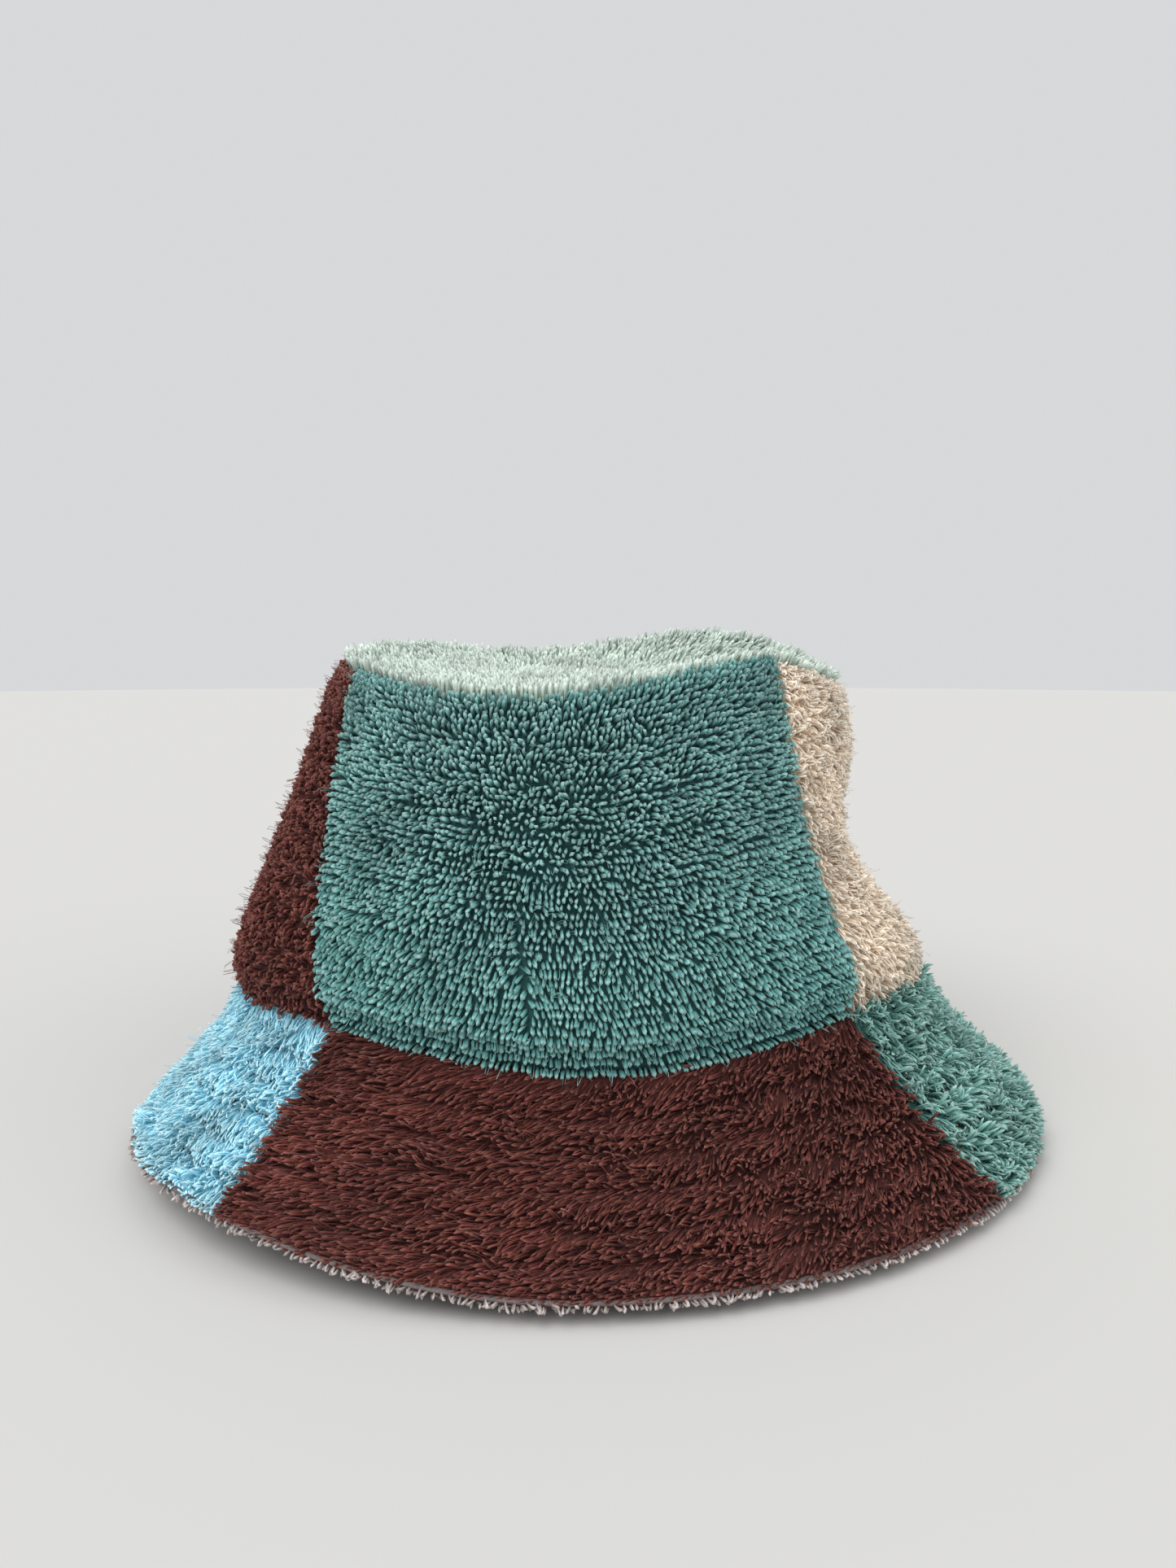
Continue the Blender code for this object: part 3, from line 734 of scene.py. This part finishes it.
def yarn_material(name, root, body, tip):
    """Cotton yarn, dark at the root as painted shade, pale at the tip as a painted highlight, each
    loop of its own shade.
    """
    made, tree, shader = new_material(name, 0.9)
    shader.inputs["Sheen Weight"].default_value = 0.08
    shader.inputs["Sheen Roughness"].default_value = 0.5
    shader.inputs["Specular IOR Level"].default_value = 0.2
    # painted shade low on each loop, where the loops shade each other, and a painted highlight at
    # its tip
    ramp = colour_ramp(tree, attribute(tree, "height"), (0.15, root), (1.0, tip))
    ramp.color_ramp.elements.new(0.72).color = linear(body)
    fibres = pattern(tree, "ShaderNodeTexNoise", Scale=2500.0, Detail=2.0)
    shade = tree.nodes.new("ShaderNodeMath")
    shade.operation = "MULTIPLY_ADD"
    shade.inputs[1].default_value = 0.7
    tree.links.new(fibres.outputs["Fac"], shade.inputs[0])
    # the loop's tone, random and with painted light near the foot, sets its brightness
    tree.links.new(attribute(tree, "tone_and_painted_light"), shade.inputs[2])
    bright = tree.nodes.new("ShaderNodeMapRange")
    bright.inputs["From Min"].default_value = 0.35
    bright.inputs["From Max"].default_value = 1.35
    bright.inputs["To Min"].default_value = 0.62
    bright.inputs["To Max"].default_value = 1.38
    tree.links.new(shade.outputs["Value"], bright.inputs["Value"])
    hue = tree.nodes.new("ShaderNodeHueSaturation")
    tree.links.new(ramp.outputs["Color"], hue.inputs["Color"])
    tree.links.new(bright.outputs["Result"], hue.inputs["Value"])
    tree.links.new(hue.outputs["Color"], shader.inputs["Base Color"])
    return made


def ground_material(name, colour):
    """The woven ground: fine threads over and under each other."""
    made, tree, shader = new_material(name, 0.95)
    threads = pattern(tree, "ShaderNodeTexVoronoi", Scale=1400.0)
    distance = threads.outputs["Distance"]
    ramp = colour_ramp(tree, distance, (0.0, colour), (1.0, shaded(colour, 0.8)))
    tree.links.new(ramp.outputs["Color"], shader.inputs["Base Color"])
    bump = tree.nodes.new("ShaderNodeBump")
    bump.inputs["Distance"].default_value = 0.0002
    bump.inputs["Strength"].default_value = 0.6
    tree.links.new(distance, bump.inputs["Height"])
    tree.links.new(bump.outputs["Normal"], shader.inputs["Normal"])
    return made


def thread_material(name, colour):
    """Sewing thread with a fine twist."""
    made, tree, shader = new_material(name, 0.7)
    twist = pattern(tree, "ShaderNodeTexWave", Scale=900.0)
    ramp = colour_ramp(tree, twist.outputs["Fac"], (0.0, shaded(colour, 0.7)), (1.0, colour))
    tree.links.new(ramp.outputs["Color"], shader.inputs["Base Color"])
    return made


def felt_material(name, colour):
    """Non-woven stiffener: matted fibres."""
    made, tree, shader = new_material(name, 0.95)
    fibres = pattern(tree, "ShaderNodeTexNoise", Scale=700.0, Detail=6.0, Distortion=2.0)
    ramp = colour_ramp(tree, fibres.outputs["Fac"], (0.35, shaded(colour, 0.8)), (0.65, colour))
    tree.links.new(ramp.outputs["Color"], shader.inputs["Base Color"])
    return made


# Yarn colours, sRGB, at the root, in the body and at the tip of a loop; the darker root is painted
# shade and the paler tip a painted highlight
YARNS = {
    "teal": ((40, 88, 87), (94, 148, 145), (152, 190, 186)),
    "brown": ((74, 30, 25), (104, 51, 44), (136, 84, 75)),
    "mint": ((186, 204, 191), (194, 209, 198), (214, 226, 216)),
    "cream": ((230, 210, 188), (242, 226, 205), (250, 240, 225)),
    "light_blue": ((158, 218, 236), (184, 238, 252), (212, 244, 252)),
    "sea_green": ((66, 116, 110), (124, 174, 166), (170, 204, 196)),
    "lilac_grey": ((120, 110, 108), (172, 160, 157), (206, 196, 192)),
}
UNDYED = (214, 208, 196)
GREY_THREAD = (150, 140, 137)
CROWN_COLOURS = {"front": "teal", "right": "cream", "back": "light_blue", "left": "brown"}
BRIM_COLOURS = {"front": "brown", "right": "sea_green", "back": "mint", "left": "light_blue"}

MATTED = dict(
    length=0.0047,
    depth=0.0019,
    pitch=0.00126,
    row_pitch=0.00130,
    yarn=0.00025,
    width=0.00020,
    sway=0.38,
    tuft=0.018,
    ruffle=0.36,
    root_lean=0.55,
    curl=(0.1, 0.4),
)
PILES = {
    "crown_top": Pile(
        lean=(0.25, 0.0),
        fan=(0.9, 0.1),
        depth=0.0027,
        pitch=0.0018,
        row_pitch=0.0023,
        yarn=0.00052,
        width=0.00022,
        length=0.0046,
        sway=0.14,
        ruffle=0.10,
        root_lean=0.9,
        curl=(0.0, 0.25),
        twist=0.3,
    ),
    "crown_side_front": Pile(
        middle=(-0.2, 0.68),
        fan=(0.6, 1.15),
        fringe=0.8,
        root_lean=0.42,
        stretch=0.12,
        # painted light on the lower front wall
        painted_light_foot=0.65,
        yarn=0.00045,
        sway=0.14,
        ruffle=0.12,
        curl=(0.9, 0.5),
    ),
    "crown_side_right": Pile(
        yarn=0.00030,
        pitch=0.00140,
        row_pitch=0.00150,
        length=0.0036,
        lean=(0.5, -0.7),
        sway=0.45,
        ruffle=0.35,
        tuft=0.008,
        root_lean=0.6,
    ),
    "crown_side_back": Pile(fan=(0.4, 0.3)),
    "crown_side_left": Pile(yarn=0.00034, length=0.0032, sway=0.65, ruffle=0.35, tuft=0.006),
    "brim_front": Pile(
        lean=(-1.2, -0.75),
        fan=(0.35, 0.0),
        **{**MATTED, "depth": 0.0016, "sway": 0.22, "root_lean": 0.65, "curl": (0.3, 0.8)},
    ),
    "brim_right": Pile(
        lean=(0.1, -1.0),
        fan=(0.3, 0.0),
        **{**MATTED, "sway": 0.75, "tuft": 0.008, "length": 0.0051, "yarn": 0.00028},
    ),
    "brim_back": Pile(lean=(0.2, -1.1), fan=(0.3, 0.0), **{**MATTED, "pitch": 0.00136}),
    "brim_left": Pile(
        lean=(0.7, -1.1), fan=(0.2, 0.0), **{**MATTED, "sway": 0.3, "pitch": 0.00138}
    ),
}
FUZZ = dict(
    length=0.0042,
    pitch=0.0030,
    row_pitch=0.0030,
    yarn=0.00006,
    width=0.00035,
    sway=0.4,
    ruffle=0.45,
    curl=(0.0, 1.2),
    uneven=0.25,
)
LINING = Pile(
    pitch=0.0017,
    row_pitch=0.00185,
    depth=0.0020,
    length=0.0026,
    yarn=0.00034,
    sway=0.3,
    ruffle=0.45,
    curl=(0.5, 0.7),
)
UNDERSIDE = replace(LINING, pitch=0.0014, row_pitch=0.00135, yarn=0.00032)


# ---------------------------------------------------------------- the hat
def dress(node, surface, panel, colour, pile, inside, seed):
    """Put a ground cloth and a pile in place of a CAD cloth node."""
    rng = np.random.default_rng(seed)

    def spots(kind):
        if surface is crown_top:
            return top_spots(kind, rng)
        return quarter_spots(panel, surface, kind, rng)

    cloth_name, cloth_colour = node + "_ground", grounds[colour]
    if surface is crown_top:
        cloth, flat, area = round_cloth(cloth_name, pile, cloth_colour, inside)
    else:
        cloth, flat, area = quarter_cloth(cloth_name, panel, surface, pile, cloth_colour, inside)
    loops = grow(node + "_pile", surface, spots(pile), pile, yarns[colour], rng, inside)
    pieces = [cloth, loops]
    if not inside:
        fuzz = replace(pile, **FUZZ)
        pieces.append(grow(node + "_fuzz", surface, spots(fuzz), fuzz, yarns[colour], rng))
    for piece in pieces:
        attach(piece, "root")
    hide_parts(node)


yarns = {name: yarn_material(name + "_yarn", *shades) for name, shades in YARNS.items()}
# the ground cloth takes the root colour, so it carries the roots' painted shade
grounds = {name: ground_material(name + "_ground", shades[0]) for name, shades in YARNS.items()}

dress("crown_top", crown_top, None, "mint", PILES["crown_top"], False, 1)
for index, panel in enumerate(PANELS):
    node = f"crown_side_{panel}"
    dress(node, crown_side, panel, CROWN_COLOURS[panel], PILES[node], False, 10 + index)
    node = f"brim_{panel}"
    dress(node, brim, panel, BRIM_COLOURS[panel], PILES[node], False, 20 + index)
    dress(f"brim_underside_{panel}", brim, panel, "lilac_grey", UNDERSIDE, True, 30 + index)
    dress(f"lining_side_{panel}", crown_side, panel, "lilac_grey", LINING, True, 40 + index)
dress("lining_top", crown_top, None, "lilac_grey", LINING, True, 2)

for row, level in enumerate(TOPSTITCH_LEVELS, start=1):
    node = f"brim_topstitch_row_{row}"
    stitches = stitch_row(node + "_stitches", level, yarns["brown"])
    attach(stitches, "root")
    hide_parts(node)

undyed = thread_material("undyed_thread", UNDYED)
grey = thread_material("lilac_grey_thread", GREY_THREAD)
felt = felt_material("interlining_felt", UNDYED)
for name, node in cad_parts.items():
    finish = None
    if "interlining" in name:
        finish = felt
    elif "thread" in name:
        grey_seam = any(word in name for word in ("lining", "underside", "edge"))
        finish = grey if grey_seam else undyed
    if finish:
        node.data.materials.clear()
        node.data.materials.append(finish)


# ---------------------------------------------------------------- the studio
CAMERA_PLACE = (-0.0017, -0.3529, 0.1302)
CAMERA_PITCH = 0.1122  # radians down
LENS = 27.03
SENSOR = 36.0
FLOOR_RADIUS = 4.0
FLOOR_COLOUR = (0.62, 0.61, 0.59, 1.0)
SKY_COLOUR = (0.68, 0.69, 0.70, 1.0)


def make_camera():
    """The camera, at the photograph's angle, looking along +Y and tipped down."""
    data = bpy.data.cameras.new("camera")
    data.lens = LENS
    data.sensor_width = SENSOR
    data.clip_start = 0.01
    camera = add_object("camera", data)
    camera.location = CAMERA_PLACE
    camera.rotation_euler = (math.pi / 2 - CAMERA_PITCH, 0.0, 0.0)
    bpy.context.scene.camera = camera


def make_light(name, towards, spread, strength):
    """A far, broad, soft light that shines towards a direction."""
    data = bpy.data.lights.new(name, "SUN")
    data.angle = math.radians(spread)
    data.energy = strength
    light = add_object(name, data)
    light.location = -Vector(towards)
    light.rotation_euler = Vector(towards).to_track_quat("-Z", "Y").to_euler()


def make_floor():
    """A pale round floor."""
    bpy.ops.mesh.primitive_circle_add(vertices=96, radius=FLOOR_RADIUS, fill_type="NGON")
    floor = bpy.context.object
    floor.name = "floor"
    made, _, shader = new_material("floor_paint", 0.8)
    shader.inputs["Base Color"].default_value = FLOOR_COLOUR
    floor.data.materials.append(made)


def make_sky():
    """An even pale surrounding."""
    world = bpy.data.worlds.new("studio")
    world.use_nodes = True
    background = world.node_tree.nodes["Background"]
    background.inputs["Color"].default_value = SKY_COLOUR
    background.inputs["Strength"].default_value = 1.0
    bpy.context.scene.world = world


make_camera()
make_light("key", (0.5, 0.5, -1.1), 50, 1.65)
make_light("fill", (-0.8, 0.5, -0.6), 60, 0.5)
make_floor()
make_sky()
bpy.context.scene.view_settings.view_transform = "Standard"
